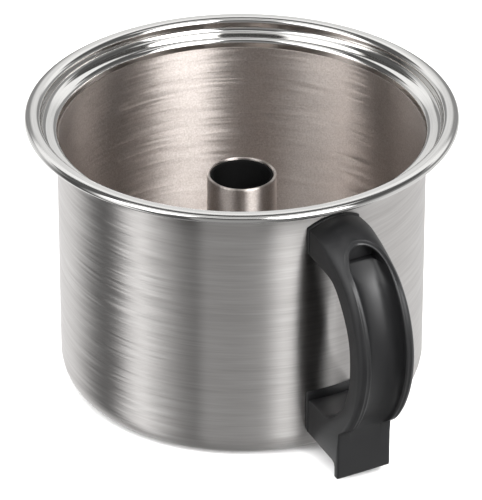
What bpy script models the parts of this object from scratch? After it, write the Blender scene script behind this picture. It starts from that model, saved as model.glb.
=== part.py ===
"""Bowl of a cutter-mixer: a drawn steel pan with a stepped rim, a centre tube and one bolted-on D-handle.

Metres, +Z up. The bowl stands on z = 0. The handle points along -Y, and the origin is under the middle of
the whole object, so the bowl's own axis is at y = BOWL_Y. Handle outlines are given as (reach, height) pairs
in millimetres, where reach is the distance from the bowl's axis along -Y.
"""

import math

import bmesh
import bpy

MM = 0.001
GAP = 0.3  # clearance between touching pieces, mm

# Bowl, mm
BOWL_R = 95.0
SHEET = 1.0
CORNER_R = 13.0
FLOOR_LIFT = 1.6  # the floor inside the standing ring is drawn up by this much
STAND_R = 72.0
SEAM_Z = 139.6  # where the wall is welded to the rim

# Rim collar, mm
RIM_R = 111.4
RIM_TOP = 151.8
RIM_SHEET = 1.3
LEDGE_Z = 144.5
LIP_R = 94.3
STEP_R = 102.9

# Centre tube, mm
TUBE_R = 18.05
TUBE_WALL = 1.6
TUBE_TOP = 115.3
TUBE_FLANGE_R = 27.0
LINER_WALL = 1.5

# Handle, mm
PAD_SEAM_R = 97.6  # the pads' outer faces and the grip's ends are concentric with the bowl
SIDE_AT_SEAM = 14.5  # half width of the grip at the seam
SIDE_TAPER = 0.0265  # the half width grows outwards at this rate
GRIP_REACH = 151.3
ROUND_SHOULDER = 0.42  # the crown's fall at a narrow shoulder: 0.5 is an ellipse, 1 a parabola
CROWN_LEVELS = [-1.0, -0.96, -0.88, -0.78, -0.6, -0.3, 0.0, 0.3, 0.6, 0.78, 0.88, 0.96, 1.0]
CHANNEL_HALF = 10.0
CHANNEL_DEPTH = 9.0
CHANNEL_LEVELS = [-1.0, -0.97, -0.85, -0.6, 0.0, 0.6, 0.85, 0.97, 1.0]
RUN_OUT = (33.0, 55.0)  # the channel's sides grow from nothing to full depth between these heights
POCKET_END = 109.0
POCKET_FLOOR_Z = 123.9
POCKET_HEIGHT = 9.2
FOOT_FACE = 128.2

# Fasteners, mm
BOSS_R = 5.0
SCREW_R = 2.5
HEAD_R = 4.2
HEAD_H = 3.2
WASHER_R = 4.5
WASHER_H = 0.8
HEX_R = 1.9
UPPER_SCREW_Z = POCKET_FLOOR_Z + POCKET_HEIGHT / 2
LOWER_SCREW_REACH = 106.0
LOWER_SCREW_SEAT = 16.8  # height of the counterbore's face in the lower arm
LUG_HALF = 7.0
LUG_Z = (20.0, 29.0)
LUG_END = 113.0

TURN_STEPS = 72
BOWL_Y = (GRIP_REACH - RIM_R) / 2

# (reach, height) along the outer edge of the grip's flat side, and the crown's height above it
CREASE = [
    ((97.6, 133.4), 4.7), ((107.0, 132.4), 4.9), ((117.6, 127.8), 5.4), ((127.6, 121.0), 5.2),
    ((133.6, 115.4), 5.1), ((138.9, 107.8), 5.0), ((142.4, 100.4), 5.0), ((145.0, 92.0), 4.9),
    ((146.5, 83.0), 4.8), ((146.8, 73.5), 4.3), ((145.8, 63.5), 3.3), ((143.2, 54.0), 2.6),
    ((139.4, 45.8), 2.3), ((134.3, 38.3), 2.1), ((FOOT_FACE, 31.8), 0.4),
]
# Half the crown's width that falls away at each side, along the same points
SHOULDER = [14.4, 12.0, 9.0, 6.0, 4.4, 3.4, 3.0, 2.8, 2.8, 2.8, 2.8, 2.8, 2.8, 2.8, 2.8]
# The foot tab and the underside of the lower arm, round to the seam
UNDERSIDE = [(FOOT_FACE, 18.0), (FOOT_FACE, 5.2), (127.3, 4.4), (124.8, 4.4), (124.0, 5.2), (124.0, 10.8),
             (121.8, 12.8), (110.0, 13.5), (97.6, 14.6)]
# The finger opening, from the lower arm's seam up to the upper arm's
OPENING = [
    (97.6, 34.4), (106.0, 34.5), (113.6, 34.8), (118.2, 36.3), (123.0, 39.8), (128.0, 44.7), (132.9, 51.4),
    (136.2, 58.6), (138.2, 66.6), (138.8, 75.5), (138.2, 86.0), (135.9, 94.4), (132.0, 102.0),
    (127.2, 108.8), (122.9, 113.4), (117.6, 116.4), (107.5, 117.8), (97.6, 118.7),
]
# The channel's floor at the middle of the grip, from the screw pocket down to the foot's face
CHANNEL_FLOOR = [
    (118.3, 123.7), (125.6, 118.2), (131.6, 111.0), (136.2, 101.8), (139.6, 91.0), (141.4, 80.0),
    (141.6, 70.0), (140.2, 60.0), (137.2, 50.5), (133.2, 42.6), (129.8, 36.4), (128.5, 31.0),
]


def clear_scene():
    for obj in list(bpy.data.objects):
        bpy.data.objects.remove(obj, do_unlink=True)


def collection(name):
    found = bpy.data.collections.new(name)
    bpy.context.scene.collection.children.link(found)
    return found


def principled(name, colour, roughness, metallic):
    material = bpy.data.materials.new(name)
    material.use_nodes = True
    shader = material.node_tree.nodes["Principled BSDF"]
    shader.inputs["Base Color"].default_value = (*colour, 1.0)
    shader.inputs["Roughness"].default_value = roughness
    shader.inputs["Metallic"].default_value = metallic
    material.diffuse_color = (*colour, 1.0)
    return material


def place(name, mesh, material, group, reach=0.0):
    """An object whose local origin is on the bowl's axis, or out along the handle by reach."""
    obj = bpy.data.objects.new(name, mesh)
    obj.location = (0.0, (BOWL_Y - reach) * MM, 0.0)
    if material:
        mesh.materials.append(material)
    group.objects.link(obj)
    return obj


def mesh_from(bm, name):
    bmesh.ops.recalc_face_normals(bm, faces=bm.faces)
    mesh = bpy.data.meshes.new(name)
    bm.to_mesh(mesh)
    bm.free()
    return mesh


def arc(centre, radius, start, end, steps):
    """Points on an arc in the profile's plane, from one angle in degrees to another."""
    angles = [math.radians(start + (end - start) * i / steps) for i in range(steps + 1)]
    return [(centre[0] + radius * math.cos(a), centre[1] + radius * math.sin(a)) for a in angles]


def turned(name, profile, material, group, steps=TURN_STEPS):
    """A closed (radius, height) profile, outer side first and downwards, turned about the bowl's axis."""
    bm = bmesh.new()
    corners = [bm.verts.new((r * MM, 0.0, z * MM)) for r, z in profile]
    for i, corner in enumerate(corners):
        bm.edges.new((corner, corners[(i + 1) % len(corners)]))
    mesh = bpy.data.meshes.new(name)
    bm.to_mesh(mesh)
    bm.free()
    obj = place(name, mesh, material, group)
    screw = obj.modifiers.new("turn", "SCREW")
    screw.steps = screw.render_steps = steps
    screw.use_merge_vertices = True
    screw.merge_threshold = 0.00001
    screw.use_smooth_shade = True
    return obj


def sheet_profile(centre_line, thickness):
    """A closed profile: the line of points itself, then its copy one sheet thickness to the left."""
    inner = []
    for i, (r, z) in enumerate(centre_line):
        before = centre_line[max(i - 1, 0)]
        after = centre_line[min(i + 1, len(centre_line) - 1)]
        dr, dz = after[0] - before[0], after[1] - before[1]
        length = math.hypot(dr, dz)
        inner.append((r + dz / length * thickness, z - dr / length * thickness))
    return centre_line + inner[::-1]


def bowl_shell(material, group):
    """Wall, rounded corner and floor: one drawn sheet, with a hole for the tube."""
    outer = [(BOWL_R, SEAM_Z), (BOWL_R, 92.0), (BOWL_R, 48.0)]
    outer += arc((BOWL_R - CORNER_R, CORNER_R), CORNER_R, 0, -90, 8)
    outer += [(STAND_R, 0.0), (STAND_R - 3.0, FLOOR_LIFT), (TUBE_R + GAP, FLOOR_LIFT)]
    return turned("bowl_shell", sheet_profile(outer, SHEET), material, group)


def rim_collar(material, group):
    """Lip, lid ledge, step and rolled flange, formed from one ring of thicker sheet."""
    lip = arc((LIP_R + 1.9, LEDGE_Z - 1.9), 1.9, 180, 90, 4)
    foot_of_step = arc((STEP_R - 1.2, LEDGE_Z + 1.2), 1.2, -90, 0, 3)
    shoulder = arc((STEP_R + 2.2, RIM_TOP - 2.2), 2.2, 180, 90, 4)
    roll = arc((RIM_R - 2.0, RIM_TOP - 2.0), 2.0, 90, -40, 6)
    top_face = [(LIP_R, SEAM_Z + GAP)] + lip + foot_of_step + shoulder + roll
    return turned("rim_collar", sheet_profile(top_face, RIM_SHEET), material, group)


def centre_tube(material, group):
    """The tube flares at its foot into a flange under the floor, where it is welded."""
    inner_r = TUBE_R - TUBE_WALL
    profile = [
        (TUBE_R - 0.3, TUBE_TOP), (TUBE_R, TUBE_TOP - 0.3), (TUBE_R, FLOOR_LIFT - GAP),
        (TUBE_FLANGE_R, FLOOR_LIFT - GAP), (TUBE_FLANGE_R, 0.4), (inner_r, 0.4), (inner_r, TUBE_TOP - 0.3),
        (inner_r + 0.3, TUBE_TOP),
    ]
    return turned("centre_tube", profile, material, group, steps=48)


def tube_liner(material, group):
    outer_r = TUBE_R - TUBE_WALL - GAP
    inner_r = outer_r - LINER_WALL
    top = TUBE_TOP - 0.8
    profile = [(outer_r, top), (outer_r, 0.6), (inner_r, 0.6), (inner_r, top - 1.0), (inner_r + 0.6, top)]
    return turned("tube_liner", profile, material, group, steps=48)


def side_at(reach):
    """Half the grip's width at a distance from the bowl's axis."""
    return SIDE_AT_SEAM + SIDE_TAPER * (reach - PAD_SEAM_R)


def concentric(radius, across):
    """Reach of a point on a cylinder round the bowl's axis, at a distance across from the handle's plane."""
    return math.sqrt(radius * radius - across * across)


def skin(loops, name):
    """A closed body through equal loops of points, with a flat face on the first and the last."""
    bm = bmesh.new()
    rings = [[bm.verts.new((x * MM, -y * MM, z * MM)) for x, y, z in loop] for loop in loops]
    for ring, following in zip(rings, rings[1:]):
        for i in range(len(ring)):
            j = (i + 1) % len(ring)
            bm.faces.new((ring[i], ring[j], following[j], following[i]))
    bm.faces.new(rings[0])
    bm.faces.new(rings[-1])
    return mesh_from(bm, name)


def pad(name, wall, seam, material, group):
    """A spacer between the wall and the grip's end, a little larger at the wall. wall and seam are
    (half width, bottom, top, rise of the top in the middle)."""
    stations = [-1.0 + i / 5 for i in range(11)]
    loops = []
    for s in stations:
        bulge = 1 - s * s
        near, far = s * wall[0], s * seam[0]
        near_reach = concentric(BOWL_R + GAP, near)
        far_reach = concentric(PAD_SEAM_R - GAP, far)
        loops.append([
            (near, near_reach, wall[1]), (near, near_reach, wall[2] + wall[3] * bulge),
            (far, far_reach, seam[2] + seam[3] * bulge), (far, far_reach, seam[1]),
        ])
    return place(name, skin(loops, name), material, group)


def smooth_line(points, steps):
    """Points along a Catmull-Rom curve, with steps points for each span."""
    line = []
    for i in range(len(points) - 1):
        before, start = points[max(i - 1, 0)], points[i]
        end, after = points[i + 1], points[min(i + 2, len(points) - 1)]
        for k in range(steps):
            t = k / steps
            line.append(tuple(
                b + 0.5 * t * (c - a + t * (2 * a - 5 * b + 4 * c - d + t * (3 * b - a - 3 * c + d)))
                for a, b, c, d in zip(before, start, end, after)
            ))
    line.append(points[-1])
    return line


def outward(line, i):
    """Unit normal of a line of (reach, height) points that runs down the outside, away from the bowl."""
    before, after = line[max(i - 1, 0)], line[min(i + 1, len(line) - 1)]
    dr, dz = after[0] - before[0], after[1] - before[1]
    length = math.hypot(dr, dz)
    return -dz / length, dr / length


def grip_body():
    """The D-shaped bar with its foot tab, as outlines stacked across its width. Between the flat sides the
    outer edge is crowned, and the two ends fit the cylinder of the pads' faces."""
    crest = smooth_line([(*point, rise, width) for (point, rise), width in zip(CREASE, SHOULDER)], 2)
    loops = []
    for level in CROWN_LEVELS:
        outline = []
        for i, (reach, height, rise, width) in enumerate(crest):
            side = side_at(reach)
            beyond = max(0.0, (abs(level) * side - (side - width)) / width)
            fall = ROUND_SHOULDER + (1.0 - ROUND_SHOULDER) * width / SIDE_AT_SEAM
            lift = rise * max(0.0, 1.0 - beyond ** 2) ** fall
            nr, nz = outward(crest, i)
            outline.append((reach + nr * lift, height + nz * lift))
        outline += UNDERSIDE + OPENING
        loop = []
        for reach, height in outline:
            across = level * side_at(reach)
            if reach < PAD_SEAM_R + 1.0:
                reach = concentric(PAD_SEAM_R, across)
            loop.append((across, reach, height))
        loops.append(loop)
    return skin(loops, "grip")


def channel_cutter(group):
    """The channel down the outside of the grip: a round-bottomed trough that runs out at the foot."""
    floor = smooth_line(CHANNEL_FLOOR, 2)
    start, full = RUN_OUT
    loops = []
    for level in CHANNEL_LEVELS:
        rise = CHANNEL_DEPTH * (1.0 - math.sqrt(1.0 - abs(level) ** 3))
        line = []
        for i, (reach, height) in enumerate(floor):
            nr, nz = outward(floor, i)
            lift = rise * min(1.0, max(0.0, (height - start) / (full - start)))
            line.append((reach + nr * lift, height + nz * lift))
        line += [(FOOT_FACE + 0.3, 26.0), (175.0, 26.0), (175.0, 150.0), (142.0, 150.0)]
        loops.append([(level * CHANNEL_HALF, reach, height) for reach, height in line])
    return cutter("channel_cutter", skin(loops, "channel_cutter"), group)


def pocket_cutter(group):
    """A half-round bore above the channel's end, along the screw, where the upper screw's head sits."""
    half = CHANNEL_HALF - 0.2
    angles = [math.pi * i / 12 for i in range(13)]
    arch = [(half * math.cos(a), POCKET_FLOOR_Z + POCKET_HEIGHT * math.sin(a)) for a in angles]
    loops = [[(x, reach, z) for x, z in arch] for reach in (POCKET_END, 150.0)]
    return cutter("pocket_cutter", skin(loops, "pocket_cutter"), group)


def cutter(name, mesh, group):
    obj = place(name, mesh, None, group)
    obj.hide_render = True
    obj.display_type = "WIRE"
    return obj


def rod_mesh(name, rings, sides, upright=False):
    """A closed round body from (position, radius) rings along the handle's reach, or upwards if upright."""
    loops = []
    for position, radius in rings:
        loop = []
        for i in range(sides):
            angle = 2 * math.pi * i / sides
            first, second = radius * math.cos(angle), radius * math.sin(angle)
            loop.append((first, second, position) if upright else (first, position, second))
        loops.append(loop)
    return skin(loops, name)


def rod(name, rings, material, group, reach=0.0, height=0.0, sides=24, upright=False):
    obj = place(name, rod_mesh(name, rings, sides, upright), material, group, reach)
    obj.location.z = height * MM
    return obj


def rod_cutter(name, rings, group, reach=0.0, height=0.0, sides=24, upright=False):
    obj = rod(name, rings, None, group, reach, height, sides, upright)
    obj.hide_render = True
    obj.display_type = "WIRE"
    return obj


def block(name, lows, highs, material, group):
    """A box from (across, reach, height) corners."""
    bm = bmesh.new()
    bmesh.ops.create_cube(bm, size=1.0)
    sizes = [high - low for low, high in zip(lows, highs)]
    middles = [(high + low) / 2 for low, high in zip(lows, highs)]
    bmesh.ops.scale(bm, vec=[size * MM for size in sizes], verts=bm.verts)
    bmesh.ops.translate(bm, vec=(middles[0] * MM, -middles[1] * MM, middles[2] * MM), verts=bm.verts)
    return place(name, mesh_from(bm, name), material, group)


def cut(obj, *cutters):
    for tool in cutters:
        modifier = obj.modifiers.new(tool.name, "BOOLEAN")
        modifier.operation = "DIFFERENCE"
        modifier.solver = "EXACT"
        modifier.object = tool


def pierced(obj, rings, group, sides=24, **where):
    """Cuts a round or hexagonal hole through obj, or into it."""
    cut(obj, rod_cutter(obj.name + "_hole_cutter", rings, group, sides=sides, **where))


def upper_fixing(grip, upper_pad, steel, dark, parts, cutters):
    """A threaded boss on the wall, with a screw along the handle's reach and a washer in the pocket."""
    where = {"height": UPPER_SCREW_Z}
    thread_r, clear_r, socket_r = SCREW_R + GAP, SCREW_R + 0.5, BOSS_R + 0.4
    boss_end = PAD_SEAM_R + 5.6
    rings = [(BOWL_R + GAP, BOSS_R), (boss_end - 0.6, BOSS_R), (boss_end, BOSS_R - 0.6)]
    boss = rod("upper_boss", rings, steel, parts, **where)
    pierced(boss, [(BOWL_R + 1.6, thread_r), (boss_end + 2.0, thread_r)], cutters, **where)
    rings = [(BOWL_R - 5.0, socket_r), (boss_end + GAP, socket_r)]
    socket = rod_cutter("upper_socket_cutter", rings, cutters, **where)
    rings = [(boss_end - 2.0, clear_r), (POCKET_END + 3.0, clear_r)]
    hole = rod_cutter("upper_hole_cutter", rings, cutters, **where)
    cut(upper_pad, socket)
    cut(grip, socket, hole)
    near = POCKET_END + GAP
    far = near + WASHER_H
    washer = rod("upper_washer", [(near, WASHER_R), (far, WASHER_R)], dark, parts, **where)
    pierced(washer, [(near - 1.0, thread_r), (far + 1.0, thread_r)], cutters, **where)
    seat, top = far + GAP, far + GAP + HEAD_H
    rings = [
        (BOWL_R + 2.0, SCREW_R), (seat, SCREW_R), (seat, HEAD_R), (top - 0.5, HEAD_R), (top, HEAD_R - 0.5),
    ]
    screw = rod("upper_screw", rings, dark, parts, **where)
    pierced(screw, [(seat + 1.0, HEX_R), (top + 2.0, HEX_R)], cutters, sides=6, **where)


def lower_fixing(grip, lower_pad, steel, dark, parts, cutters):
    """A lug on the wall reaches into the lower arm, and a screw from below holds the arm to it."""
    low, high = LUG_Z
    where = {"reach": LOWER_SCREW_REACH, "upright": True}
    thread_r, clear_r, bore_r, room = SCREW_R + GAP, SCREW_R + 0.5, WASHER_R + 0.6, 0.4
    lug = block("lower_lug", (-LUG_HALF, BOWL_R + GAP, low), (LUG_HALF, LUG_END, high), steel, parts)
    pierced(lug, [(low - 3.0, thread_r), (high - 1.0, thread_r)], cutters, **where)
    lows = (-LUG_HALF - room, BOWL_R - 5.0, low - room)
    highs = (LUG_HALF + room, LUG_END + room, high + room)
    slot = block("lug_slot_cutter", lows, highs, None, cutters)
    slot.hide_render = True
    slot.display_type = "WIRE"
    rings = [(LOWER_SCREW_SEAT - 1.0, clear_r), (low + 1.0, clear_r)]
    hole = rod_cutter("lower_hole_cutter", rings, cutters, **where)
    rings = [(5.0, bore_r), (LOWER_SCREW_SEAT, bore_r)]
    counterbore = rod_cutter("lower_bore_cutter", rings, cutters, **where)
    cut(lower_pad, slot)
    cut(grip, slot, hole, counterbore)
    top = LOWER_SCREW_SEAT - GAP
    bottom = top - WASHER_H
    washer = rod("lower_washer", [(bottom, WASHER_R), (top, WASHER_R)], dark, parts, **where)
    pierced(washer, [(bottom - 1.0, thread_r), (top + 1.0, thread_r)], cutters, **where)
    seat = bottom - GAP
    rings = [
        (seat - HEAD_H + 1.2, HEAD_R - 0.5), (seat - HEAD_H + 1.7, HEAD_R), (seat, HEAD_R), (seat, SCREW_R),
        (high - 1.4, SCREW_R),
    ]
    screw = rod("lower_screw", rings, dark, parts, **where)
    pierced(screw, [(seat - HEAD_H - 2.0, HEX_R), (seat - 0.7, HEX_R)], cutters, sides=6, **where)


def main():
    clear_scene()
    parts = collection("cutter_mixer_bowl")
    cutters = collection("cutters")
    brushed = principled("brushed_stainless", (0.56, 0.55, 0.54), 0.34, 1.0)
    polished = principled("polished_stainless", (0.72, 0.71, 0.70), 0.08, 1.0)
    oxide = principled("black_oxide_steel", (0.05, 0.05, 0.05), 0.45, 1.0)
    black = principled("black_nylon", (0.022, 0.022, 0.024), 0.42, 0.0)
    sleeve = principled("black_sleeve", (0.006, 0.006, 0.006), 0.60, 0.0)

    bowl_shell(brushed, parts)
    rim_collar(polished, parts)
    centre_tube(brushed, parts)
    tube_liner(sleeve, parts)
    upper_pad = pad("upper_pad", (15.0, 120.8, 134.2, 4.6), (SIDE_AT_SEAM, 118.7, 133.4, 4.7), black, parts)
    lower_pad = pad("lower_pad", (15.0, 17.2, 38.6, 0.0), (SIDE_AT_SEAM, 14.6, 34.4, 0.0), black, parts)
    grip = place("grip", grip_body(), black, parts)
    cut(grip, channel_cutter(cutters), pocket_cutter(cutters))
    upper_fixing(grip, upper_pad, brushed, oxide, parts, cutters)
    lower_fixing(grip, lower_pad, brushed, oxide, parts, cutters)


main()
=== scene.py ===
"""Finishes for a cutter-mixer bowl: a brushed steel pan with a polished rolled rim, an open centre tube
and a moulded nylon D-handle. Lengths in this script are millimetres unless a comment says otherwise. A
point on the handle is (across, reach, height): reach is the distance from the bowl's axis along -Y.
"""

import math

import bmesh
import bpy
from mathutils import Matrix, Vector


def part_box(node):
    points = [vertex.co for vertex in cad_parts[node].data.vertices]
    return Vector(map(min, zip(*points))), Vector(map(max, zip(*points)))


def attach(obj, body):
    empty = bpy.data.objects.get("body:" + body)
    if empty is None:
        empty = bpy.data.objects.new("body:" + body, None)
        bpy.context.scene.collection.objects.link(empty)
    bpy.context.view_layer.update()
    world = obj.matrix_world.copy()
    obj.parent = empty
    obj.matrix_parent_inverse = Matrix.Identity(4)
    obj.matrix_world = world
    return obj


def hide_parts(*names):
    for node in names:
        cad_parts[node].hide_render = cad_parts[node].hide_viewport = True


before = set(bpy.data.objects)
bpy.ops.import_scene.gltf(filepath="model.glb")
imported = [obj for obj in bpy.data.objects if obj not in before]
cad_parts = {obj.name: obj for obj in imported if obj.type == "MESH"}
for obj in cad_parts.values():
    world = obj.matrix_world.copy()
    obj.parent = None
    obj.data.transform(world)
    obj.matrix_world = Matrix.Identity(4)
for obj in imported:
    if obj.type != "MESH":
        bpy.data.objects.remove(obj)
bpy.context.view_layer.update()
MM = 0.001


def node_box(name):
    """A CAD node's box in millimetres."""
    low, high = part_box(name)
    return low / MM, high / MM


SHELL_LOW, SHELL_HIGH = node_box("bowl_shell")
RIM_LOW, RIM_HIGH = node_box("rim_collar")
TUBE_LOW, TUBE_HIGH = node_box("centre_tube")
LINER_LOW, LINER_HIGH = node_box("tube_liner")

# Clearance between neighbouring pieces, and the angle that still shades smooth, in degrees
GAP = 0.3
SMOOTH_ANGLE = 35.0
GRIP_SMOOTH_ANGLE = 40.0

# Bowl
AXIS_Y = (SHELL_LOW.y + SHELL_HIGH.y) / 2
BOWL_R = (SHELL_HIGH.x - SHELL_LOW.x) / 2
SEAM_Z = SHELL_HIGH.z
SHEET = 1.0
CORNER_R = 13.0
CORNER_INSET = 0.3  # the corner starts this far inside the brushed wall
CORNER_STEPS = 18
WALL_RINGS = [SEAM_Z, 92.0, 48.0, CORNER_R + 0.2]  # heights of the wall's rings of vertices
FLOOR_LIFT = 1.6  # the floor's underside above the standing ring
STAND_R = 72.0
STAND_SLOPE = 3.0  # width of the slope from the standing ring up to the floor
WALL_STEPS = 240
FACES_IN = 0.3  # a face that leans inwards or up by more than this takes the inside finish

# Rim
RIM_R = (RIM_HIGH.x - RIM_LOW.x) / 2
RIM_TOP = RIM_HIGH.z
RIM_SHEET = 1.3
LEDGE_Z = RIM_TOP - 7.3
LIP_R = BOWL_R - 0.7
STEP_R = RIM_R - 8.5
LIP_BEND = 2.6
STEP_BEND = 2.9
SHOULDER_R = 2.2
ROLL_R = 2.0
ROLL_END = -40  # degrees from level where the rolled edge stops
LEDGE_LEAN = 6.0  # degrees that the ledge falls inwards
CROWN_LEAN = 9.0  # degrees that the flange's crown leans at each side
BEND_STEPS = 16
SHOULDER_STEPS = 14
CROWN_STEPS = 12

# Centre tube and its sleeve
TUBE_TOP = TUBE_HIGH.z
FLANGE_R = (TUBE_HIGH.x - TUBE_LOW.x) / 2
LINER_R = (LINER_HIGH.x - LINER_LOW.x) / 2
LINER_TOP = LINER_HIGH.z
TUBE_WALL = 1.6
TUBE_R = LINER_R + GAP + TUBE_WALL
TUBE_FOOT = 0.4
TUBE_EDGE_R = 0.7
BORE_EDGE_R = 0.4
LINER_WALL = 1.5
LINER_FOOT = 0.6
LINER_CHAMFER = (0.6, 1.0)  # across, down
TUBE_STEPS = 96

# Grip. It ends at a seam that follows the bowl's curve, and its sides widen slowly away from it.
SEAM_R = 97.6
SEAM_ZONE = 0.6  # a point nearer the seam than this lies on it
SIDE_AT_SEAM = 14.5
SIDE_TAPER = 0.0265
SIDE_REACH = 140.0  # where the grip's rows are spaced out across its width
EDGE_R = 0.9
ROUND_SHOULDER = 0.42
# (reach, height) along the outer edge of its flat side, the crown's rise above it, and the width of the
# crown's shoulder
CREASE = [
    (97.6, 133.4, 4.7, 14.4), (107.0, 132.4, 4.9, 12.0), (117.6, 127.8, 5.4, 9.0), (127.6, 121.0, 5.2, 6.0),
    (133.6, 115.4, 5.1, 4.4), (138.9, 107.8, 5.0, 3.4), (142.4, 100.4, 5.0, 3.0), (145.0, 92.0, 4.9, 2.8),
    (146.5, 83.0, 4.8, 2.8), (146.8, 73.5, 4.3, 2.8), (145.8, 63.5, 3.3, 2.8), (143.2, 54.0, 2.6, 2.8),
    (139.4, 45.8, 2.3, 2.8), (134.3, 38.3, 2.1, 2.8), (128.2, 31.8, 0.4, 2.8),
]
FOOT_FACE = 128.2
UNDERSIDE = [
    (FOOT_FACE, 24.0), (FOOT_FACE, 14.0), (FOOT_FACE, 6.0), (FOOT_FACE - 0.25, 4.9), (FOOT_FACE - 0.9, 4.4),
    (124.9, 4.4), (124.2, 4.7), (124.0, 5.3), (124.0, 10.6), (123.5, 11.9), (121.8, 12.8), (110.0, 13.5),
    (SEAM_R, 14.6),
]
OPENING = [
    (SEAM_R, 34.4), (106.0, 34.5), (113.6, 34.8), (118.2, 36.3), (123.0, 39.8), (128.0, 44.7),
    (132.9, 51.4), (136.2, 58.6), (138.2, 66.6), (138.8, 75.5), (138.2, 86.0), (135.9, 94.4), (132.0, 102.0),
    (127.2, 108.8), (122.9, 113.4), (117.6, 116.4), (107.5, 117.8), (SEAM_R, 118.7),
]

# Channel down the outside of the grip, and the screw pocket behind its arched top
CHANNEL_R = 9.9
ARCH_CREST = [0.35, 0.8, 1.2, 1.7]  # lengths down the crest, past the arch, between pocket and channel
CHANNEL_FLOOR = [
    (119.6, 123.3), (125.6, 118.2), (131.6, 111.0), (136.2, 101.8), (139.6, 91.0), (141.4, 80.0),
    (141.6, 70.0), (140.2, 60.0), (137.2, 50.5), (133.2, 42.6), (129.8, 36.4), (128.3, 31.4),
]
POCKET_Z = 123.9
POCKET_END = 109.3
ARCH_TOP_Z = 133.1
LIP_DROP = 0.9
LIP_FADE = 14.0  # length before the crest's lower end where the channel's lip fades away
CAP_FACE = 117.4
CAP_THICK = 2.2
CAP_EDGE_R = 0.3
CAP_STEPS = 32
# The band round the channel: (distance out from the channel's edge, height above the crown)
BAND = [
    (0.07, -0.5), (0.27, -0.2), (0.6, -0.03), (0.95, 0.04), (1.5, -0.05), (2.1, -0.08), (2.6, 0.06),
    (2.9, 0.14), (3.15, 0.12), (3.4, 0.0),
]
# Rows across the shoulder, as shares of its width
SHOULDER_AT = [0.15, 0.32, 0.5, 0.66, 0.8, 0.9, 0.97, 1.0]

# The grip's mesh: stations down the crest before the arch, round it and below it, rows across half the
# channel, and pieces between two points of a curve
FAN_STATIONS = 12
ARCH_STATIONS = 16
RUN_STATIONS = 44
CHANNEL_ROWS = 10
CREST_STEPS = 24
OPENING_STEPS = 4

# Spacer pads: (half width, bottom, top, rise of the top's middle) at the wall, then at the grip's seam
PAD_GAP = 0.8
PAD_ROWS = 16
PAD_EDGE_R = 0.35
PAD_EDGE_ANGLE = 40
UPPER_PAD = [(15.0, 120.8, 134.2, 4.6), (SIDE_AT_SEAM, 118.7, 133.4, 4.7)]
LOWER_PAD = [(15.0, 17.2, 38.6, 0.0), (SIDE_AT_SEAM, 14.6, 34.4, 0.0)]

# Finishes
ACROSS = 0.25  # a quarter turn of the tangent, so that the reflections smear across the brushing
WALL_LEAN = 0.095  # how far the brushing's lines lean the surface, as a share of its normal
INSIDE_LEAN = 0.11
# The belt ran truest along the handle's side: (distance along Y from the axis, share of the lean)
BELT_TRUE = (-76.0, 0.28)
BELT_LOOSE = (-36.0, 1.0)

# Camera: its direction from the bowl, and in metres its distance and the height that it looks at
VIEW_AZIMUTH = math.radians(-28.8)
VIEW_ELEVATION = math.radians(30.025)
VIEW_DISTANCE = 2.2789
VIEW_HEIGHT = 0.0696
VIEW_LENS = 314.9
VIEW_SENSOR = 36.0
VIEW_SHIFT = -0.0015

# Floor, in metres
FLOOR_R = 9.0
FLOOR_STEPS = 96

# Lights: name, degrees to the right of the camera's own direction, elevation in degrees, distance, width
# and height in metres, and power in watts. They are aimed at a height in metres on the bowl's axis.
LIGHTS = [
    ("key", 34.0, 60.0, 2.0, 2.6, 2.0, 60.0),
    ("fill", -68.0, 50.0, 2.0, 2.4, 2.0, 45.0),
]
LIGHT_HEIGHT = 0.08


# ---------------------------------------------------------------- meshes

def finished(bm, name, material, smooth_angle=SMOOTH_ANGLE):
    """Turns a bmesh in millimetres, with the bowl's axis at its origin, into a piece of the part."""
    bmesh.ops.remove_doubles(bm, verts=bm.verts, dist=0.002)
    bmesh.ops.recalc_face_normals(bm, faces=bm.faces)
    bmesh.ops.translate(bm, vec=(0.0, AXIS_Y, 0.0), verts=bm.verts)
    bmesh.ops.scale(bm, vec=(MM, MM, MM), verts=bm.verts)
    mesh = bpy.data.meshes.new(name)
    bm.to_mesh(mesh)
    bm.free()
    mesh.polygons.foreach_set("use_smooth", [True] * len(mesh.polygons))
    mesh.set_sharp_from_angle(angle=math.radians(smooth_angle))
    mesh.materials.append(material)
    piece = bpy.data.objects.new(name, mesh)
    bpy.context.scene.collection.objects.link(piece)
    return piece


def arc(centre, radius, start, end, steps):
    """Points on an arc in the profile's plane, from one angle in degrees to another."""
    angles = [math.radians(start + (end - start) * i / steps) for i in range(steps + 1)]
    return [(centre[0] + radius * math.cos(a), centre[1] + radius * math.sin(a)) for a in angles]


def sheet_profile(line, thickness):
    """A closed profile: the line of points itself, then its copy one sheet thickness to the left."""
    inner = []
    for i, (r, z) in enumerate(line):
        before, after = line[max(i - 1, 0)], line[min(i + 1, len(line) - 1)]
        dr, dz = after[0] - before[0], after[1] - before[1]
        length = math.hypot(dr, dz)
        inner.append((r + dz / length * thickness, z - dr / length * thickness))
    return line + inner[::-1]


def spun(name, profile, material, steps):
    """A closed (radius, height) profile spun about the bowl's axis."""
    bm = bmesh.new()
    corners = [bm.verts.new((r, 0.0, z)) for r, z in profile]
    edges = [bm.edges.new((a, b)) for a, b in zip(corners, corners[1:] + corners[:1])]
    bmesh.ops.spin(
        bm, geom=corners + edges, cent=(0, 0, 0), axis=(0, 0, 1), angle=2 * math.pi, steps=steps,
        use_merge=True, use_duplicate=False,
    )
    return finished(bm, name, material)


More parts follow.
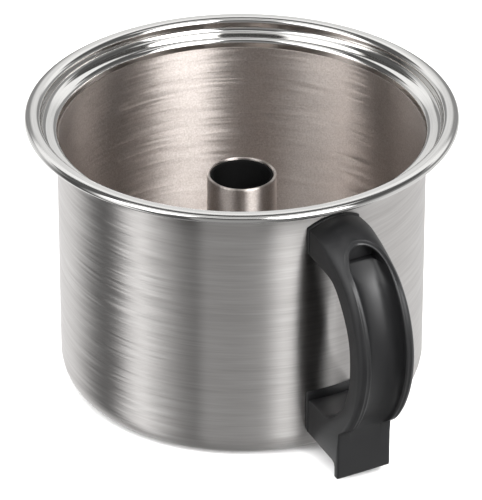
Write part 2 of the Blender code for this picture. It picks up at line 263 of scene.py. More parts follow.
def smooth_at(points, place):
    """A point on the Catmull-Rom curve through points, at a place counted in points from the first."""
    i = min(int(place), len(points) - 2)
    t = place - i
    before, start = points[max(i - 1, 0)], points[i]
    end, after = points[i + 1], points[min(i + 2, len(points) - 1)]
    return tuple(
        b + 0.5 * t * (c - a + t * (2 * a - 5 * b + 4 * c - d + t * (3 * b - a - 3 * c + d)))
        for a, b, c, d in zip(before, start, end, after)
    )


def smooth_line(points, steps):
    last = len(points) - 1
    return [smooth_at(points, i / steps) for i in range(last * steps + 1)]


def outward(before, after):
    """Unit normal of a line of (reach, height) points that runs down the outside, away from the bowl."""
    dr, dz = after[0] - before[0], after[1] - before[1]
    length = math.hypot(dr, dz)
    return -dz / length, dr / length


def side_at(reach):
    """Half the grip's width at a distance from the bowl's axis."""
    return SIDE_AT_SEAM + SIDE_TAPER * (reach - SEAM_R)


def wrapped_grid(columns, rows, place):
    """A closed body: a grid whose columns run round an outline and whose rows go across the width.
    place gives each (column, row) its point. The first and the last row are capped."""
    bm = bmesh.new()
    bmesh.ops.create_grid(bm, x_segments=columns, y_segments=rows, size=0.5)
    for v in bm.verts:
        column, row = round((v.co.x + 0.5) * columns), round((v.co.y + 0.5) * rows)
        across, reach, height = place(column % columns, row)
        v.co = (across, -reach, height)
    bmesh.ops.remove_doubles(bm, verts=bm.verts, dist=0.002)
    rims = [e for e in bm.edges if e.is_boundary]
    bmesh.ops.holes_fill(bm, edges=rims, sides=0)
    return bm


# ---------------------------------------------------------------- grip

class Crest:
    """The crown's highest line, measured along its length."""

    def __init__(self):
        self.last = len(CREASE) - 1
        count = self.last * CREST_STEPS
        self.places = [self.last * i / count for i in range(count + 1)]
        self.points = [self.point(place) for place in self.places]
        self.lengths = [0.0]
        for a, b in zip(self.points, self.points[1:]):
            self.lengths.append(self.lengths[-1] + math.dist(a, b))
        self.total = self.lengths[-1]

    def point(self, place):
        reach, height, rise, _ = smooth_at(CREASE, place)
        nr, nz = self.normal(place)
        return reach + nr * rise, height + nz * rise

    def normal(self, place):
        step = 0.02
        before = smooth_at(CREASE, max(place - step, 0.0))
        after = smooth_at(CREASE, min(place + step, self.last))
        return outward(before, after)

    def place_at(self, length):
        for i in range(1, len(self.lengths)):
            if self.lengths[i] >= length:
                share = (length - self.lengths[i - 1]) / (self.lengths[i] - self.lengths[i - 1])
                return self.places[i - 1] + share * (self.places[i] - self.places[i - 1])
        return self.last

    def length_at_height(self, height):
        """Length down to a height on the upper half."""
        for i in range(1, len(self.points)):
            if self.points[i][1] <= height < self.points[i - 1][1]:
                return self.lengths[i]
        return 0.0


def half_levels():
    """Half the rows, from the middle out: what each is, and its usual distance across."""
    levels = []
    for i in range(CHANNEL_ROWS + 1):
        angle = math.pi / 2 * i / CHANNEL_ROWS
        levels.append(("channel", math.cos(angle), math.sin(angle)))
    levels += [("band", out, height) for out, height in BAND]
    levels += [("shoulder", share, 0.0) for share in SHOULDER_AT]
    return levels


def grip_mesh():
    crest = Crest()
    levels = half_levels()
    band_width = BAND[-1][0]
    arch_end = crest.length_at_height(POCKET_Z)
    arch_long = arch_end - crest.length_at_height(ARCH_TOP_Z)
    tip = arch_end - arch_long - band_width
    full_r = CHANNEL_R + band_width

    # Stations down the crest: (length along it, floor point or None, squareness of the channel)
    stations = [(tip * i / FAN_STATIONS, None, 12.0) for i in range(FAN_STATIONS)]
    for i in range(ARCH_STATIONS + 1):
        e = (arch_long + band_width) * math.cos(math.pi / 2 * i / ARCH_STATIONS)
        stations.append((arch_end - e, "arch", 12.0))
    stations.append((arch_end + ARCH_CREST[0], (POCKET_END + 0.2, POCKET_Z - 0.2), 12.0))
    stations.append((arch_end + ARCH_CREST[1], (118.4, POCKET_Z - 0.2), 12.0))
    stations.append((arch_end + ARCH_CREST[2], (119.2, 123.6), 11.0))
    start = arch_end + ARCH_CREST[3]
    for i in range(RUN_STATIONS + 1):
        share = i / RUN_STATIONS
        floor = smooth_at(CHANNEL_FLOOR, share * (len(CHANNEL_FLOOR) - 1))
        square = max(3.0, 10.0 - 60.0 * share)
        stations.append((start + (crest.total - start) * share, floor, square))
    opening = smooth_line(OPENING, OPENING_STEPS)
    others = UNDERSIDE + opening
    columns = len(stations) + len(others)

    def usual(level):
        kind, a, b = level
        if kind == "channel":
            return CHANNEL_R * b ** (2 / 3)
        if kind == "band":
            return CHANNEL_R + a
        return full_r + (side_at(SIDE_REACH) - full_r) * a

    def crown_point(place, across):
        """(reach, height) of the crown at a distance across from the middle, and its normal."""
        reach, height, rise, width = smooth_at(CREASE, place)
        side = side_at(reach)
        beyond = max(0.0, (across - (side - width)) / width)
        fall = ROUND_SHOULDER + (1.0 - ROUND_SHOULDER) * width / SIDE_AT_SEAM
        lift = rise * max(0.0, 1.0 - min(beyond, 1.0) ** 2) ** fall
        nr, nz = crest.normal(place)
        return reach + nr * lift, height + nz * lift, nr, nz

    def contour(radius, e):
        """Distance across, e before the arch ends, of the contour that keeps a radius from the channel's
        middle."""
        long = arch_long + radius - CHANNEL_R if radius > CHANNEL_R else arch_long * radius / CHANNEL_R
        if e <= 0.0:
            return radius
        if e >= long:
            return 0.0
        return radius * math.sqrt(1.0 - (e / long) ** 2)

    def along_middle(e):
        """The channel's radius that meets the middle line e before its arch ends."""
        return CHANNEL_R * e / arch_long if e <= arch_long else CHANNEL_R + e - arch_long

    def band_height(out):
        line = [(0.0, -LIP_DROP)] + BAND
        for (a, low), (b, high) in zip(line, line[1:]):
            if out <= b:
                return low + (high - low) * (out - a) / (b - a)
        return 0.0

    def on_crest(station, level):
        length, floor, square = station
        kind, a, b = level
        place = crest.place_at(length)
        side = side_at(smooth_at(CREASE, place)[0])
        e = arch_end - length
        fade = min(1.0, max(0.0, (crest.total - length) / LIP_FADE))
        fade = fade * fade * (3 - 2 * fade)
        if floor is None:
            fan = 1.0 - length / tip
            if kind == "shoulder":
                middle = fan * full_r
                across = middle + (side - middle) * a
            else:
                across = fan * usual(level)
            return (across, *crown_point(place, across)[:2])
        rim = contour(full_r, e)
        rim = min(rim, side - 0.6)
        if kind == "shoulder":
            across = rim + (side - rim) * a
            return (across, *crown_point(place, across)[:2])
        met = along_middle(e) if e > 0 else 0.0
        if kind == "band":
            radius = CHANNEL_R + a
            across = min(contour(radius, e), side - 0.7)
            height_above = b if across > 0.0 else band_height(met - CHANNEL_R)
            r, z, nr, nz = crown_point(place, across)
            if across == 0.0 and met <= CHANNEL_R:
                height_above = -LIP_DROP
            return across, r + nr * height_above * fade, z + nz * height_above * fade
        radius = CHANNEL_R * b ** (2 / square)
        across = contour(radius, e)
        depth = a
        if across == 0.0:
            if met > CHANNEL_R:
                r, z, nr, nz = crown_point(place, 0.0)
                up = band_height(met - CHANNEL_R)
                return 0.0, r + nr * up, z + nz * up
            if radius > 0.0 or met > 0.0:
                depth = math.sqrt(max(0.0, 1.0 - (met / CHANNEL_R) ** square))
        r, z, nr, nz = crown_point(place, across)
        top = (r - nr * LIP_DROP * fade, z - nz * LIP_DROP * fade)
        bottom = (POCKET_END, min(z, ARCH_TOP_Z)) if floor == "arch" else floor
        return across, top[0] + (bottom[0] - top[0]) * depth, top[1] + (bottom[1] - top[1]) * depth

    def on_outline(i, level):
        reach, height = others[i]
        before, after = others[max(i - 1, 0)], others[min(i + 1, len(others) - 1)]
        side = side_at(reach)
        usual_side = side_at(SIDE_REACH)
        across = min(usual(level), usual_side) * side / usual_side
        nr, nz = outward(before, after)
        into = max(0.0, across - (side - EDGE_R))
        inset = EDGE_R - math.sqrt(EDGE_R ** 2 - min(into, EDGE_R) ** 2)
        if reach < SEAM_R + SEAM_ZONE:
            nr, nz = 0.0, (1.0 if height > 100.0 else -1.0) * (-1.0 if i >= len(UNDERSIDE) else 1.0)
        return across, reach - nr * inset, height - nz * inset

    def place(column, row):
        half = row - (len(levels) - 1)
        level = levels[abs(half)]
        if column < len(stations):
            across, reach, height = on_crest(stations[column], level)
        else:
            across, reach, height = on_outline(column - len(stations), level)
        if reach < SEAM_R + SEAM_ZONE:
            reach = math.sqrt(SEAM_R ** 2 - across ** 2)
        return math.copysign(across, half), reach, height

    return wrapped_grid(columns, 2 * (len(levels) - 1), place)


def pad_mesh(wall, seam):
    """A spacer between the wall and the grip's end: wall and seam are (half width, bottom, top, rise)."""
    def place(column, row):
        s = 2 * row / PAD_ROWS - 1
        half, low, high, rise = wall if column in (0, 1) else seam
        radius = BOWL_R + GAP if column in (0, 1) else SEAM_R - PAD_GAP
        across = s * half
        reach = math.sqrt(radius ** 2 - across ** 2)
        height = low if column in (0, 3) else high + rise * (1 - s * s)
        return across, reach, height

    bm = wrapped_grid(4, PAD_ROWS, place)
    bmesh.ops.recalc_face_normals(bm, faces=bm.faces)
    limit = math.radians(PAD_EDGE_ANGLE)
    sharp = [e for e in bm.edges if len(e.link_faces) == 2 and e.calc_face_angle() > limit]
    bmesh.ops.bevel(bm, geom=sharp, affect="EDGES", offset=PAD_EDGE_R, segments=2, profile=0.5, material=-1)
    return bm


def cap_mesh():
    """The arched cap that closes the screw pocket."""
    bm = bmesh.new()
    outline = []
    for i in range(CAP_STEPS + 1):
        turn = math.pi * i / CAP_STEPS
        across = (CHANNEL_R - GAP) * math.cos(turn)
        height = POCKET_Z + GAP + (ARCH_TOP_Z - POCKET_Z - 2 * GAP) * math.sin(turn)
        outline.append(bm.verts.new((across, -CAP_FACE, height)))
    face = bm.faces.new(outline)
    back = bmesh.ops.extrude_face_region(bm, geom=[face])["geom"]
    moved = [v for v in back if isinstance(v, bmesh.types.BMVert)]
    bmesh.ops.translate(bm, vec=(0.0, CAP_THICK, 0.0), verts=moved)
    front = [e for e in bm.edges if all(abs(v.co.y + CAP_FACE) < 0.001 for v in e.verts)]
    bmesh.ops.bevel(bm, geom=front, affect="EDGES", offset=CAP_EDGE_R, segments=2, profile=0.5, material=-1)
    return bm


# ---------------------------------------------------------------- materials

def linear(hex_code):
    """An sRGB hex colour as linear RGBA."""
    values = [int(hex_code[i:i + 2], 16) / 255 for i in (1, 3, 5)]
    return [v / 12.92 if v <= 0.04045 else ((v + 0.055) / 1.055) ** 2.4 for v in values] + [1.0]


def add(tree, kind, settings=None, **links):
    """Adds a node. settings are its properties; links are input names with underscores for spaces, or the
    number of an input after in_, each a value or another node's output."""
    node = tree.nodes.new(kind)
    for name, value in (settings or {}).items():
        setattr(node, name, value)
    for name, value in links.items():
        key = int(name[3:]) if name.startswith("in_") else name.replace("_", " ")
        socket = node.inputs[key]
        if isinstance(value, bpy.types.NodeSocket):
            tree.links.new(value, socket)
        else:
            socket.default_value = value
    return node


def new_material(name):
    material = bpy.data.materials.new(name)
    material.use_nodes = True
    return material, material.node_tree, material.node_tree.nodes["Principled BSDF"]


def ramp(tree, value, stops):
    """A colour ramp through (position, hex colour) stops."""
    node = add(tree, "ShaderNodeValToRGB", None, Fac=value)
    elements = node.color_ramp.elements
    while len(elements) < len(stops):
        elements.new(0.5)
    for element, (position, colour) in zip(elements, stops):
        element.position = position
        element.color = linear(colour)
    return node.outputs["Color"]


def turned_coordinates(tree):
    """Object coordinates in millimetres from the bowl's axis: the point itself, the unit direction from
    the axis, the height as an upright vector, and the radius."""
    coordinates = add(tree, "ShaderNodeTexCoord").outputs["Object"]
    centred = add(
        tree, "ShaderNodeMapping", {"vector_type": "POINT"}, Vector=coordinates,
        Location=(0.0, -AXIS_Y, 0.0), Scale=(1 / MM, 1 / MM, 1 / MM),
    ).outputs["Vector"]
    flat = add(
        tree, "ShaderNodeVectorMath", {"operation": "MULTIPLY"}, in_0=centred, in_1=(1, 1, 0)
    ).outputs["Vector"]
    radius = add(tree, "ShaderNodeVectorMath", {"operation": "LENGTH"}, in_0=flat).outputs["Value"]
    round_it = add(tree, "ShaderNodeVectorMath", {"operation": "NORMALIZE"}, in_0=flat).outputs["Vector"]
    upright = add(
        tree, "ShaderNodeVectorMath", {"operation": "MULTIPLY"}, in_0=centred, in_1=(0, 0, 1)
    ).outputs["Vector"]
    return centred, round_it, upright, radius


def streaks(tree, round_it, upright, radius, length, pitch, detail=2.0):
    """Noise drawn out round the axis: length along the streaks and pitch across them, in millimetres."""
    around = add(
        tree, "ShaderNodeVectorMath", {"operation": "SCALE"}, in_0=round_it, Scale=BOWL_R / length
    ).outputs["Vector"]
    high = add(
        tree, "ShaderNodeVectorMath", {"operation": "SCALE"}, in_0=upright, Scale=1.0 / pitch
    ).outputs["Vector"]
    vector = add(
        tree, "ShaderNodeVectorMath", {"operation": "ADD"}, in_0=around, in_1=high
    ).outputs["Vector"]
    out = add(
        tree, "ShaderNodeMath", {"operation": "MULTIPLY"}, in_0=radius, in_1=1.0 / pitch
    ).outputs["Value"]
    return add(
        tree, "ShaderNodeTexNoise", {"noise_dimensions": "4D"}, Vector=vector, W=out, Scale=1.0,
        Detail=detail, Roughness=0.6,
    ).outputs["Fac"]


def round_tangent(tree):
    """The direction of the brushing, round the bowl's axis."""
    return add(tree, "ShaderNodeTangent", {"direction_type": "RADIAL", "axis": "Z"}).outputs["Tangent"]


def wavering(tree, noise, amount, share):
    """A normal that leans to and fro along the brushing, so that the sides of a reflection turn ragged.
    share is a value or an output that scales the lean from place to place."""
    normal = add(tree, "ShaderNodeNewGeometry").outputs["Normal"]
    lean = add(
        tree, "ShaderNodeMapRange", {"clamp": False}, Value=noise, From_Min=0.0, From_Max=1.0,
        To_Min=-amount, To_Max=amount,
    ).outputs["Result"]
    lean = add(tree, "ShaderNodeMath", {"operation": "MULTIPLY"}, in_0=lean, in_1=share).outputs["Value"]
    shift = add(
        tree, "ShaderNodeVectorMath", {"operation": "SCALE"}, in_0=round_tangent(tree), Scale=lean
    ).outputs["Vector"]
    leant = add(
        tree, "ShaderNodeVectorMath", {"operation": "ADD"}, in_0=normal, in_1=shift
    ).outputs["Vector"]
    return add(tree, "ShaderNodeVectorMath", {"operation": "NORMALIZE"}, in_0=leant).outputs["Vector"]


def brushed_steel():
    """Stainless steel 1.4301, brushed round the bowl with a 120 grit belt. It gives the eye fine lines
    round the wall, which smear every reflection up and down and leave its sides crisp but ragged. The
    real lines are 0.1 mm apart; they are drawn at 0.9 mm."""
    material, tree, shader = new_material("stainless_steel_brushed_round")
    centred, round_it, upright, radius = turned_coordinates(tree)
    fine = streaks(tree, round_it, upright, radius, length=24.0, pitch=0.9, detail=1.5)
    broad = streaks(tree, round_it, upright, radius, length=60.0, pitch=2.6)
    ragged = streaks(tree, round_it, upright, radius, length=34.0, pitch=1.15, detail=1.3)
    depth = add(tree, "ShaderNodeSeparateXYZ", None, Vector=centred).outputs["Y"]
    uneven = add(
        tree, "ShaderNodeMapRange", {"interpolation_type": "SMOOTHSTEP"}, Value=depth,
        From_Min=BELT_TRUE[0], From_Max=BELT_LOOSE[0], To_Min=BELT_TRUE[1], To_Max=BELT_LOOSE[1],
    ).outputs["Result"]
    both = add(tree, "ShaderNodeMath", {"operation": "ADD"}, in_0=fine, in_1=broad).outputs["Value"]
    half = add(tree, "ShaderNodeMath", {"operation": "MULTIPLY"}, in_0=both, in_1=0.5).outputs["Value"]
    colour = ramp(tree, half, [(0.3, "#C0BDBB"), (0.5, "#CECBC9"), (0.7, "#DAD8D6")])
    rough = add(
        tree, "ShaderNodeMapRange", None, Value=fine, From_Min=0.3, From_Max=0.7, To_Min=0.293, To_Max=0.313
    ).outputs["Result"]
    leant = wavering(tree, ragged, WALL_LEAN, uneven)
    tree.links.new(colour, shader.inputs["Base Color"])
    tree.links.new(rough, shader.inputs["Roughness"])
    tree.links.new(leant, shader.inputs["Normal"])
    tree.links.new(round_tangent(tree), shader.inputs["Tangent"])
    shader.inputs["Metallic"].default_value = 1.0
    shader.inputs["Anisotropic"].default_value = 1.0
    shader.inputs["Anisotropic Rotation"].default_value = ACROSS
    return material


def satin_steel():
    """The same steel inside the bowl, spun and then vibratory finished: a warm, slightly grainy satin with
    faint turning lines."""
    material, tree, shader = new_material("stainless_steel_satin_spun")
    centred, round_it, upright, radius = turned_coordinates(tree)
    broad = streaks(tree, round_it, upright, radius, length=40.0, pitch=2.4)
    grain = add(
        tree, "ShaderNodeTexNoise", None, Vector=centred, Scale=1.1, Detail=2.0, Roughness=0.6
    ).outputs["Fac"]  # tumbling marks are 0.3 mm across, drawn at about 0.9 mm
    colour = ramp(tree, grain, [(0.3, "#B9B0AA"), (0.5, "#C6BEB9"), (0.7, "#D2CBC7")])
    rough = add(
        tree, "ShaderNodeMapRange", None, Value=broad, From_Min=0.3, From_Max=0.7, To_Min=0.37, To_Max=0.45
    ).outputs["Result"]
    ragged = streaks(tree, round_it, upright, radius, length=34.0, pitch=1.3, detail=1.3)
    lines = add(
        tree, "ShaderNodeBump", None, Height=broad, Strength=0.06, Distance=0.00005,
        Normal=wavering(tree, ragged, INSIDE_LEAN, 1.0),
    ).outputs["Normal"]
    pits = add(
        tree, "ShaderNodeBump", None, Height=grain, Strength=0.05, Distance=0.00002, Normal=lines
    ).outputs["Normal"]
    tree.links.new(colour, shader.inputs["Base Color"])
    tree.links.new(rough, shader.inputs["Roughness"])
    tree.links.new(pits, shader.inputs["Normal"])
    tree.links.new(round_tangent(tree), shader.inputs["Tangent"])
    shader.inputs["Metallic"].default_value = 1.0
    shader.inputs["Anisotropic"].default_value = 0.98
    shader.inputs["Anisotropic Rotation"].default_value = ACROSS
    return material


def polished_steel():
    """Stainless steel polished to a mirror on the rim, with the faint rings that a buffing wheel leaves."""
    material, tree, shader = new_material("stainless_steel_mirror_polished")
    _, round_it, upright, radius = turned_coordinates(tree)
    rings = streaks(tree, round_it, upright, radius, length=30.0, pitch=0.8)
    colour = ramp(tree, rings, [(0.3, "#D3D2D0"), (0.7, "#DEDDDB")])
    rough = add(
        tree, "ShaderNodeMapRange", None, Value=rings, From_Min=0.3, From_Max=0.7, To_Min=0.05, To_Max=0.11
    ).outputs["Result"]
    buffed = add(
        tree, "ShaderNodeBump", None, Height=rings, Strength=0.05, Distance=0.00002
    ).outputs["Normal"]
    tree.links.new(colour, shader.inputs["Base Color"])
    tree.links.new(rough, shader.inputs["Roughness"])
    tree.links.new(buffed, shader.inputs["Normal"])
    shader.inputs["Metallic"].default_value = 1.0
    return material


def moulded_nylon():
    """Black glass-filled nylon, injection moulded in a lightly spark-eroded tool: an even satin black with
    a very fine grain that softens its highlights."""
    material, tree, shader = new_material("nylon_black_moulded_satin")
    coordinates = add(tree, "ShaderNodeTexCoord").outputs["Object"]
    grain = add(
        tree, "ShaderNodeTexNoise", None, Vector=coordinates, Scale=1 / (0.5 * MM), Detail=3.0,
        Roughness=0.6,
    ).outputs["Fac"]  # the real grain is 0.1 mm, drawn at 0.5 mm
    cloud = add(
        tree, "ShaderNodeTexNoise", None, Vector=coordinates, Scale=1 / (14 * MM), Detail=2.0
    ).outputs["Fac"]
    colour = ramp(tree, cloud, [(0.35, "#101011"), (0.65, "#131314")])
    rough = add(
        tree, "ShaderNodeMapRange", None, Value=grain, From_Min=0.3, From_Max=0.7, To_Min=0.38, To_Max=0.45
    ).outputs["Result"]
    bumps = add(
        tree, "ShaderNodeBump", None, Height=grain, Strength=0.12, Distance=0.00003
    ).outputs["Normal"]
    tree.links.new(colour, shader.inputs["Base Color"])
    tree.links.new(rough, shader.inputs["Roughness"])
    tree.links.new(bumps, shader.inputs["Normal"])
    shader.inputs["IOR"].default_value = 1.53
    shader.inputs["Specular IOR Level"].default_value = 0.42
    return material


def black_sleeve_and_painted_bore_shade():
    """The black sleeve inside the tube: matt, and coloured near-black, darker than rubber, as painted shade
    so that the bore reads as a dark hole.
    """
    material, tree, shader = new_material("rubber_black_matt_with_painted_bore_shade")
    coordinates = add(tree, "ShaderNodeTexCoord").outputs["Object"]
    grain = add(
        tree, "ShaderNodeTexNoise", None, Vector=coordinates, Scale=1 / (0.8 * MM), Detail=2.0
    ).outputs["Fac"]
    # near-black colour: black rubber darkened further as painted shade down the bore
    colour = ramp(tree, grain, [(0.3, "#040404"), (0.7, "#070707")])
    tree.links.new(colour, shader.inputs["Base Color"])
    shader.inputs["Roughness"].default_value = 0.7
    shader.inputs["Specular IOR Level"].default_value = 0.08
    return material


def oxide_steel():
    """Hardened screw steel, chemically blackened and oiled: near-black with a soft metallic edge."""
    material, tree, shader = new_material("screw_steel_black_oxide")
    coordinates = add(tree, "ShaderNodeTexCoord").outputs["Object"]
    grain = add(
        tree, "ShaderNodeTexNoise", None, Vector=coordinates, Scale=1 / (0.6 * MM), Detail=3.0
    ).outputs["Fac"]
    colour = ramp(tree, grain, [(0.3, "#262626"), (0.7, "#303030")])
    rough = add(
        tree, "ShaderNodeMapRange", None, Value=grain, From_Min=0.3, From_Max=0.7, To_Min=0.38, To_Max=0.52
    ).outputs["Result"]
    tree.links.new(colour, shader.inputs["Base Color"])
    tree.links.new(rough, shader.inputs["Roughness"])
    shader.inputs["Metallic"].default_value = 1.0
    return material


# ---------------------------------------------------------------- pieces

def keep(piece, nodes):
    """A piece of the one body, standing for the CAD nodes it is drawn from."""
    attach(piece, "root")
    if nodes:
        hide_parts(*nodes)


def bowl(outside, inside):
    outer = [(BOWL_R, height) for height in WALL_RINGS]
    outer += arc((BOWL_R - CORNER_R, CORNER_R), CORNER_R - CORNER_INSET, 0, -90, CORNER_STEPS)
    outer += [(STAND_R, 0.0), (STAND_R - STAND_SLOPE, FLOOR_LIFT), (TUBE_R + GAP, FLOOR_LIFT)]
    piece = spun("bowl", sheet_profile(outer, SHEET), outside, WALL_STEPS)
    piece.data.materials.append(inside)
    for face in piece.data.polygons:
        centre, normal = face.center / MM, face.normal
        inward = Vector((-centre.x, AXIS_Y - centre.y, 0.0)).normalized()
        if normal.dot(inward) + normal.z > FACES_IN:
            face.material_index = 1
    keep(piece, ["bowl_shell"])
    return piece


def rim(material):
    """The pressed collar: a lip above the wall, a ledge, a step up, a crowned flange and a rolled edge."""
    sine = math.sin(math.radians(CROWN_LEAN))
    cosine = math.cos(math.radians(CROWN_LEAN))
    lip_centre = (LIP_R + LIP_BEND, LEDGE_Z - LIP_BEND)
    lip = arc(lip_centre, LIP_BEND, 180, 90 + LEDGE_LEAN, BEND_STEPS)
    across = STEP_R - STEP_BEND - lip[-1][0]
    foot_z = lip[-1][1] + across * math.tan(math.radians(LEDGE_LEAN)) + STEP_BEND
    foot_of_step = arc((STEP_R - STEP_BEND, foot_z), STEP_BEND, -90 + LEDGE_LEAN, 0, BEND_STEPS)
    shoulder_centre = (STEP_R + SHOULDER_R, RIM_TOP - SHOULDER_R)
    shoulder = arc(shoulder_centre, SHOULDER_R, 180, 90 + CROWN_LEAN, SHOULDER_STEPS)
    left, crown_z = shoulder[-1]
    right = RIM_R - ROLL_R + ROLL_R * sine
    radius = (right - left) / 2 / sine
    crown_centre = ((left + right) / 2, crown_z - radius * cosine)
    crown = arc(crown_centre, radius, 90 + CROWN_LEAN, 90 - CROWN_LEAN, CROWN_STEPS)[1:-1]
    roll_centre = (RIM_R - ROLL_R, crown_z - ROLL_R * cosine)
    roll = arc(roll_centre, ROLL_R, 90 - CROWN_LEAN, ROLL_END, BEND_STEPS)
    top = [(LIP_R, SEAM_Z + GAP)] + lip + foot_of_step + shoulder + crown + roll
    piece = spun("rim", sheet_profile(top, RIM_SHEET), material, WALL_STEPS)
    keep(piece, ["rim_collar"])
    return piece


def tube(material):
    inner = TUBE_R - TUBE_WALL
    foot = FLOOR_LIFT - GAP
    profile = arc((TUBE_R - TUBE_EDGE_R, TUBE_TOP - TUBE_EDGE_R), TUBE_EDGE_R, 90, 0, 5)
    profile += [(TUBE_R, foot), (FLANGE_R, foot), (FLANGE_R, TUBE_FOOT), (inner, TUBE_FOOT)]
    profile += arc((inner + BORE_EDGE_R, TUBE_TOP - BORE_EDGE_R), BORE_EDGE_R, 180, 90, 4)
    piece = spun("tube", profile, material, TUBE_STEPS)
    keep(piece, ["centre_tube"])
    return piece


def liner(material):
    inner = LINER_R - LINER_WALL
    across, down = LINER_CHAMFER
    profile = [
        (LINER_R, LINER_TOP), (LINER_R, LINER_FOOT), (inner, LINER_FOOT), (inner, LINER_TOP - down),
        (inner + across, LINER_TOP),
    ]
    piece = spun("liner", profile, material, TUBE_STEPS)
    keep(piece, ["tube_liner"])
    return piece


def handle(material):
    grip = finished(grip_mesh(), "handle_grip", material, GRIP_SMOOTH_ANGLE)
    keep(grip, ["grip"])
    upper = finished(pad_mesh(*UPPER_PAD), "handle_pad_upper", material)
    keep(upper, ["upper_pad"])
    lower = finished(pad_mesh(*LOWER_PAD), "handle_pad_lower", material)
    keep(lower, ["lower_pad"])
    cap = finished(cap_mesh(), "handle_screw_cap", material)
    keep(cap, [])


def direction_to(azimuth, elevation):
    """Unit vector from the bowl towards an azimuth, which is 0 along -Y, and an elevation in radians."""
    return Vector((
        math.sin(azimuth) * math.cos(elevation), -math.cos(azimuth) * math.cos(elevation),
        math.sin(elevation),
    ))


def camera():
    """The camera stands 2.3 m away on a long lens, left of the handle and 30 degrees up."""
    data = bpy.data.cameras.new("camera")
    data.lens = VIEW_LENS
    data.sensor_width = VIEW_SENSOR
    data.shift_x = VIEW_SHIFT
    back = direction_to(VIEW_AZIMUTH, VIEW_ELEVATION)
    obj = bpy.data.objects.new("camera", data)
    obj.location = Vector((0.0, AXIS_Y * MM, VIEW_HEIGHT)) + back * VIEW_DISTANCE
    obj.rotation_mode = "QUATERNION"
    obj.rotation_quaternion = (-back).to_track_quat("-Z", "Y")
    bpy.context.scene.collection.objects.link(obj)
    bpy.context.scene.camera = obj


def floor():
    """A wide sheet of white paper, so that the background is the floor alone."""
    bm = bmesh.new()
    bmesh.ops.create_circle(bm, cap_ends=True, segments=FLOOR_STEPS, radius=FLOOR_R)
    mesh = bpy.data.meshes.new("floor")
    bm.to_mesh(mesh)
    bm.free()
    material, tree, shader = new_material("studio_paper_white")
    shader.inputs["Base Color"].default_value = linear("#F4F4F4")
    shader.inputs["Roughness"].default_value = 0.9
    shader.inputs["Specular IOR Level"].default_value = 0.0
    mesh.materials.append(material)
    obj = bpy.data.objects.new("floor", mesh)
    bpy.context.scene.collection.objects.link(obj)
    obj.visible_glossy = False


# The studio's surroundings, as layers one above the other: the elevation where each starts, in degrees, and
# its brightness by degrees to the right of the camera's own direction. SOFT_EDGE is half the height over
# which one layer turns into the next, as a change of the elevation's sine.
SURROUND = [
    (-90, [(-180, 0.3), (180, 0.3)]),
    (-56, [
        (-180, 1.0), (-150, 1.15), (-124, 1.05), (-110, 0.42), (-100, 0.1), (-88, 0.1), (-80, 0.45),
        (-73, 1.2), (-63, 1.2), (-56, 0.45), (-47, 0.13), (-27, 0.1), (-24, 0.42), (8, 0.40), (20, 0.2),
        (32, 0.18), (50, 0.45), (66, 0.55), (84, 0.85), (120, 0.95), (180, 1.0),
    ]),
    (6, [
        (-180, 0.95), (-175, 0.95), (-172, 0.34), (-150, 0.34), (-142, 0.8), (-124, 0.8), (-110, 0.4),
        (-100, 0.1), (-88, 0.1), (-80, 0.4), (-71, 2.6), (-44, 2.6), (-36, 0.4), (-30, 0.13), (-27, 0.1),
        (-24, 0.3), (16, 0.3), (24, 4.5), (52, 4.5), (60, 0.2), (90, 0.3), (142, 0.4), (155, 0.34),
        (172, 0.34), (175, 0.95), (180, 0.95),
    ]),
    (31, [
        (-180, 1.25), (-135, 1.2), (-120, 0.15), (-84, 0.15), (-76, 3.4), (-34, 3.4), (-26, 0.1), (15, 0.1),
        (22, 12.0), (55, 12.0), (62, 0.1), (120, 0.15), (135, 1.2), (180, 1.25),
    ]),
    (39, [
        (-180, 0.12), (-84, 0.12), (-76, 3.4), (-34, 3.4), (-26, 0.1), (15, 0.1), (22, 13.0), (55, 13.0),
        (62, 0.12), (180, 0.12),
    ]),
    (61, [(-180, 1.1), (180, 1.1)]),
    (80, [(-180, 0.12), (180, 0.12)]),
]
SOFT_EDGE = 0.02


def ring(tree, share, stops):
    """Brightness round the horizon, from (degrees, value) stops."""
    node = add(tree, "ShaderNodeValToRGB", None, Fac=share)
    elements = node.color_ramp.elements
    while len(elements) < len(stops):
        elements.new(0.5)
    for element, (degrees, value) in zip(elements, stops):
        element.position = (degrees + 180) / 360
        element.color = (value, value, value, 1.0)
    return node.outputs["Color"]


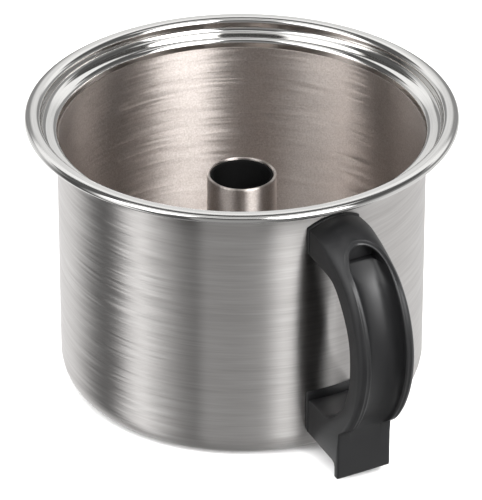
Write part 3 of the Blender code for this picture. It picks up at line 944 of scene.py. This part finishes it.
def studio():
    """A soft studio: tall soft panels round the horizon with dark gaps between them, a bright ring high
    above them, and a dark patch straight overhead."""
    world = bpy.data.worlds.new("studio")
    world.use_nodes = True
    tree = world.node_tree
    direction = add(tree, "ShaderNodeTexCoord").outputs["Generated"]
    turned = add(
        tree, "ShaderNodeMapping", {"vector_type": "POINT"}, Vector=direction,
        Rotation=(0.0, 0.0, -VIEW_AZIMUTH),
    ).outputs["Vector"]
    parts = add(tree, "ShaderNodeSeparateXYZ", None, Vector=turned)
    behind = add(tree, "ShaderNodeMath", {"operation": "MULTIPLY"}, in_0=parts.outputs["Y"], in_1=-1.0)
    angle = add(
        tree, "ShaderNodeMath", {"operation": "ARCTAN2"}, in_0=parts.outputs["X"],
        in_1=behind.outputs["Value"],
    ).outputs["Value"]
    share = add(
        tree, "ShaderNodeMapRange", None, Value=angle, From_Min=-math.pi, From_Max=math.pi
    ).outputs["Result"]
    colour = ring(tree, share, SURROUND[0][1])
    for elevation, stops in SURROUND[1:]:
        height = math.sin(math.radians(elevation))
        above = add(
            tree, "ShaderNodeMapRange", {"interpolation_type": "SMOOTHSTEP"}, Value=parts.outputs["Z"],
            From_Min=height - SOFT_EDGE, From_Max=height + SOFT_EDGE,
        ).outputs["Result"]
        colour = add(
            tree, "ShaderNodeMix", {"data_type": "RGBA"}, Factor=above, in_6=colour,
            in_7=ring(tree, share, stops),
        ).outputs[2]
    tree.links.new(colour, tree.nodes["Background"].inputs["Color"])
    bpy.context.scene.world = world
    bpy.context.scene.view_settings.view_transform = "Standard"


def area_light(name, azimuth, elevation, distance, width, height, power):
    """A soft rectangular light aimed at the bowl. azimuth is to the right of the camera's own direction."""
    data = bpy.data.lights.new(name, "AREA")
    data.shape = "RECTANGLE"
    data.size = width
    data.size_y = height
    data.energy = power
    obj = bpy.data.objects.new(name, data)
    back = direction_to(VIEW_AZIMUTH + math.radians(azimuth), math.radians(elevation))
    obj.location = Vector((0.0, AXIS_Y * MM, LIGHT_HEIGHT)) + back * distance
    obj.rotation_mode = "QUATERNION"
    obj.rotation_quaternion = (-back).to_track_quat("-Z", "Y")
    obj.visible_camera = False
    obj.visible_glossy = False
    bpy.context.scene.collection.objects.link(obj)


camera()
floor()
studio()
for light in LIGHTS:
    area_light(*light)

brushed = brushed_steel()
polished = polished_steel()
satin = satin_steel()
nylon = moulded_nylon()
oxide = oxide_steel()
bowl(brushed, satin)
rim(polished)
tube(satin)
liner(black_sleeve_and_painted_bore_shade())
handle(nylon)
for name, finish in (
    ("upper_boss", satin), ("lower_lug", satin), ("upper_screw", oxide), ("upper_washer", oxide),
    ("lower_screw", oxide), ("lower_washer", oxide),
):
    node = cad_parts[name]
    node.data.materials.clear()
    node.data.materials.append(finish)
